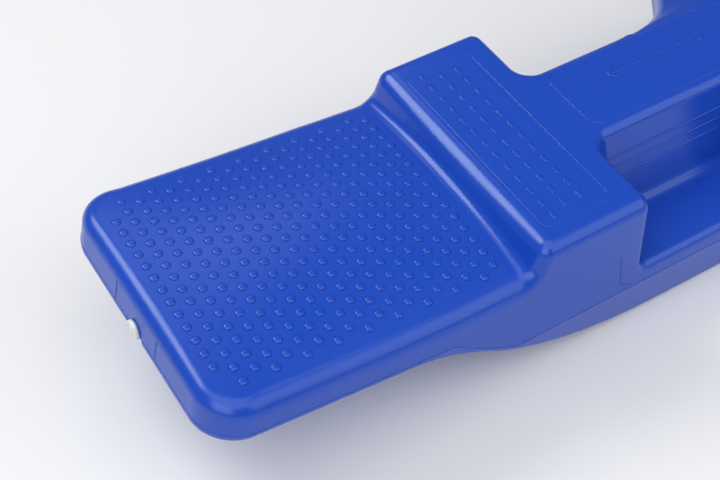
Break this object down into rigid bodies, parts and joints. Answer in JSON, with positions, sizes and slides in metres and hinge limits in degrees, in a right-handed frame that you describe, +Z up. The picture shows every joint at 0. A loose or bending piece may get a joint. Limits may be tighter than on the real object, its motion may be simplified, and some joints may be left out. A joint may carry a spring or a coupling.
{
  "type": "balance rocker",
  "caption": "Hollow moulded balance rocker: studded foot platforms at both ends, raised blocks, a narrow beam and a curved rocker keel.",
  "frame": {"origin": "on the ground under the middle of the board", "axes": "+X along the board, +Y across it, +Z up"},
  "size_m": [0.91, 0.188, 0.1176],
  "materials": {
    "blue_shell": "satin gloss moulded polyethylene",
    "natural_plug": "uncoloured translucent polyethylene"
  },
  "bodies": {
    "root": {"deck_shell": "blue_shell", "rocker_shell": "blue_shell", "left_plug": "natural_plug", "right_plug": "natural_plug"}
  },
  "joints": []
}
